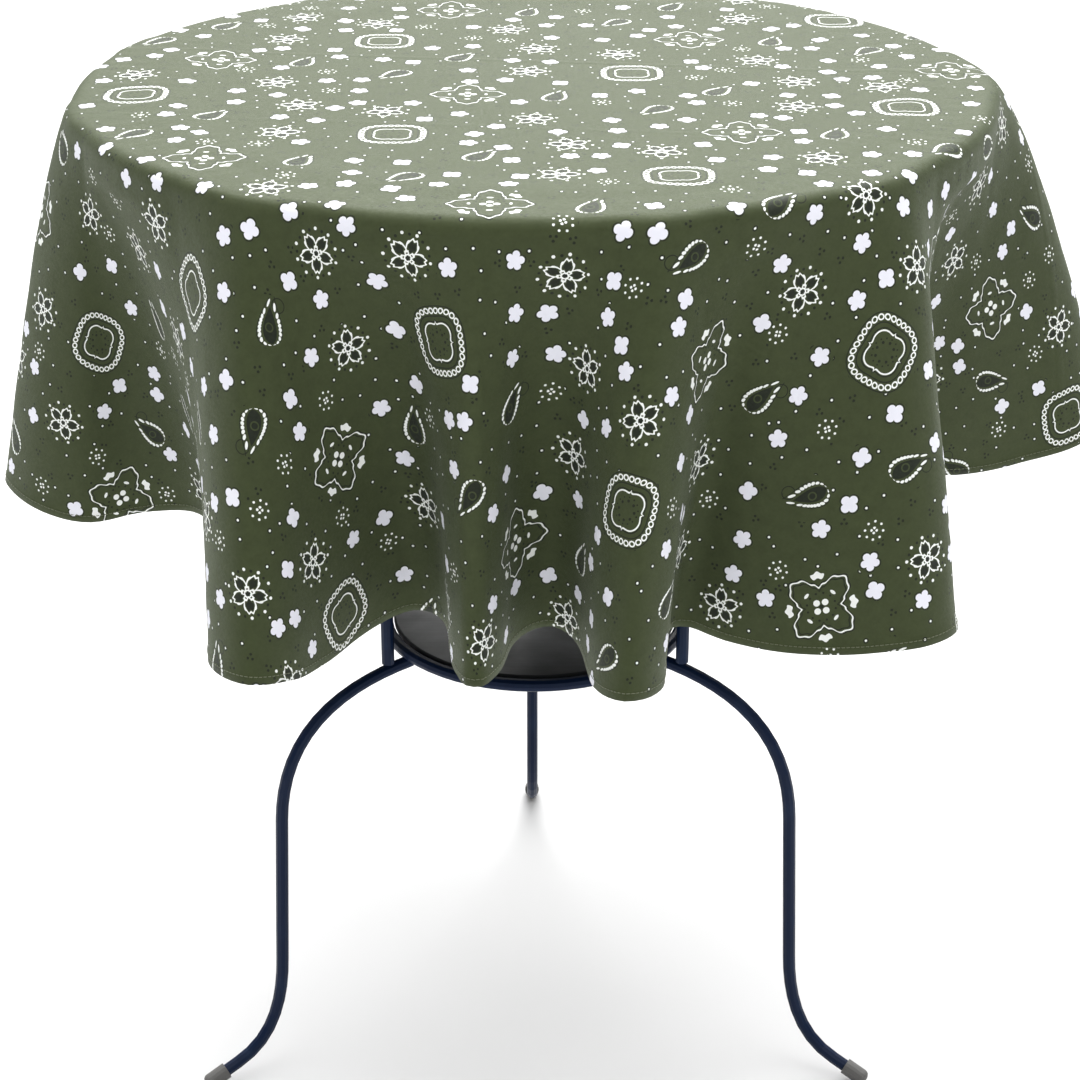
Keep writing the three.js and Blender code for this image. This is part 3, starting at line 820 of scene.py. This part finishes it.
def refined(coarse):
    """The settled sheet on a grid twice as fine, with its flat-cut place in the UV map."""
    points = np.empty(len(coarse.data.vertices) * 3)
    coarse.data.vertices.foreach_get("co", points)
    points = points.reshape(-1, 3)
    centre, rings = points[0], points[1:].reshape(-1, AROUND, 3)
    fine = halved_along(halved_around(rings))
    radii = ring_radii()
    radii = np.interp(np.arange(len(fine)) / 2, np.arange(len(radii)), radii)
    around = fine.shape[1]
    angle = np.arange(around) * 2 * math.pi / around
    fine += creases(radii, angle)[:, :, None] * outward(fine)
    flat = np.stack([np.outer(radii, np.cos(angle)), np.outer(radii, np.sin(angle))], 2)
    flat = np.concatenate([[[0, 0]], flat.reshape(-1, 2)])
    places = np.concatenate([[centre], fine.reshape(-1, 3)])
    cloth = new_object("draped_cloth", places.tolist(), cloth_faces(around, len(fine)))
    mesh = cloth.data
    corner = np.empty(len(mesh.loops), int)
    mesh.loops.foreach_get("vertex_index", corner)
    mesh.uv_layers.new(name="cut").data.foreach_set("uv", flat[corner].ravel())
    mesh.polygons.foreach_set("use_smooth", [True] * len(mesh.polygons))
    bpy.data.objects.remove(coarse)
    return cloth


def bar_faces(first, rings, sides):
    """The sides and both ends of a bar whose rings of points begin at the given vertex."""
    faces = []
    for ring in range(rings - 1):
        for k in range(sides):
            a = first + ring * sides + k
            b = first + ring * sides + (k + 1) % sides
            faces.append((a, a + sides, b + sides, b))
    faces.append([first + k for k in range(sides)])
    faces.append([first + (rings - 1) * sides + k for k in reversed(range(sides))])
    return faces


def hem_stitching(cloth):
    """One row of lockstitch round the rolled hem, each stitch a short bar with its ends drawn in."""
    points = np.empty(len(cloth.data.vertices) * 3)
    cloth.data.vertices.foreach_get("co", points)
    rings = points.reshape(-1, 3)[1:].reshape(-1, 2 * AROUND, 3)
    facing = outward(rings)[-2]
    line = rings[-2] + facing * HEM_THICK / 2
    facing = np.concatenate([facing, facing[:1]])
    line = np.concatenate([line, line[:1]])
    along = np.concatenate([[0], np.cumsum(np.linalg.norm(np.diff(line, axis=0), axis=1))])

    def value_at(distance, values):
        return np.array([np.interp(distance, along, values[:, k]) for k in range(3)])

    vertices, faces = [], []
    for start in np.arange(0, along[-1] - STITCH_PITCH, STITCH_PITCH):
        middle = start + STITCH_PITCH / 2
        centre = Vector(value_at(middle, line))
        way = Vector(value_at(middle, line) - value_at(start, line)).normalized()
        up = Vector(value_at(middle, facing))
        side = way.cross(up).normalized()
        faces += bar_faces(len(vertices), len(STITCH_RINGS), STITCH_SIDES)
        for share, lift, size in STITCH_RINGS:
            for turn in np.arange(STITCH_SIDES) * 2 * math.pi / STITCH_SIDES:
                vertices.append(centre + way * (share * STITCH_LENGTH)
                                + up * (THREAD_RADIUS * (lift + size * math.sin(turn)))
                                + side * (THREAD_RADIUS * size * math.cos(turn)))
    stitches = new_object("hem_stitching", vertices, faces)
    stitches.data.polygons.foreach_set("use_smooth", [True] * len(stitches.data.polygons))
    stitches.data.materials.append(sewing_thread("mercerised sewing thread", "#4C5237", "#6A7050"))
    return stitches


def tablecloth():
    """The draped sheet with its print, its rolled hem and its row of stitches."""
    flat, draped = cloth_points()
    cloth = new_object("coarse_cloth", draped, cloth_faces(AROUND, len(ring_radii())))
    simulate(cloth, flat)
    cloth = refined(cloth)
    cloth.data.materials.append(printed_cotton(
        "printed cotton face", ground="#353C24", white_ink="#F2F4F2", lavender_ink="#EDEDF8",
        black_ink="#101315"))
    cloth.data.materials.append(printed_cotton(
        "printed cotton back", ground="#555A42", white_ink="#7E836F", lavender_ink="#7C8074",
        black_ink="#434735"))
    stitches = hem_stitching(cloth)
    around = 2 * AROUND
    edge = len(cloth.data.vertices) - around
    hem = cloth.vertex_groups.new(name="hem")
    hem.add(list(range(edge, edge + around)), 1.0, "REPLACE")
    hem.add(list(range(edge - around, edge)), 0.8, "REPLACE")
    thick = cloth.modifiers.new("thick", "SOLIDIFY")
    thick.thickness = HEM_THICK
    thick.vertex_group = "hem"
    thick.thickness_vertex_group = CLOTH_THICK / HEM_THICK
    thick.offset = 0
    thick.material_offset = 1
    apply_modifiers(cloth)
    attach(cloth, "cloth")
    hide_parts("tablecloth")
    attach(stitches, "cloth")


# ---- stage ----

# Soft lights: each one's tilt and how wide it shines, in degrees, and its strength.
SUNS = {
    "overhead": ((-10, 2, 0), 80, 4.8),
    "from_behind": ((-56, 4, 0), 40, 3.1),
    "from_front": ((56, 24, 0), 50, 0.3),
}
SKY_STRENGTH = 0.25
FLOOR_HALF = 12


def sun(name, tilt, spread, strength):
    data = bpy.data.lights.new(name, "SUN")
    data.energy = strength
    data.angle = math.radians(spread)
    lamp = bpy.data.objects.new(name, data)
    bpy.context.scene.collection.objects.link(lamp)
    lamp.rotation_euler = [math.radians(angle) for angle in tilt]


def stage():
    """A wide pale floor under a soft white sky, with three broad suns."""
    corners = [(x * FLOOR_HALF, y * FLOOR_HALF, 0) for x, y in ((-1, -1), (1, -1), (1, 1), (-1, 1))]
    floor = new_object("floor", corners, [(0, 1, 2, 3)])
    pale, tree = new_material("pale painted floor")
    mottle = add(tree, "TexNoise", {"Vector": add(tree, "TexCoord").outputs["Object"], "Scale": 2.0})
    tint = add(tree, "Mix", [mottle, linear("#D4D4D4"), linear("#D8D8D8")], data_type="RGBA")
    add(tree, "OutputMaterial", [add(tree, "BsdfPrincipled", {"Base Color": tint, "Roughness": 0.9})])
    floor.data.materials.append(pale)
    world = bpy.data.worlds.new("studio")
    world.use_nodes = True
    world.node_tree.nodes["Background"].inputs["Color"].default_value = (1, 1, 1, 1)
    world.node_tree.nodes["Background"].inputs["Strength"].default_value = SKY_STRENGTH
    bpy.context.scene.world = world
    bpy.context.scene.view_settings.view_transform = "Standard"
    for name, (tilt, spread, strength) in SUNS.items():
        sun(name, tilt, spread, strength)


make_camera()
tablecloth()
finish_table()
stage()
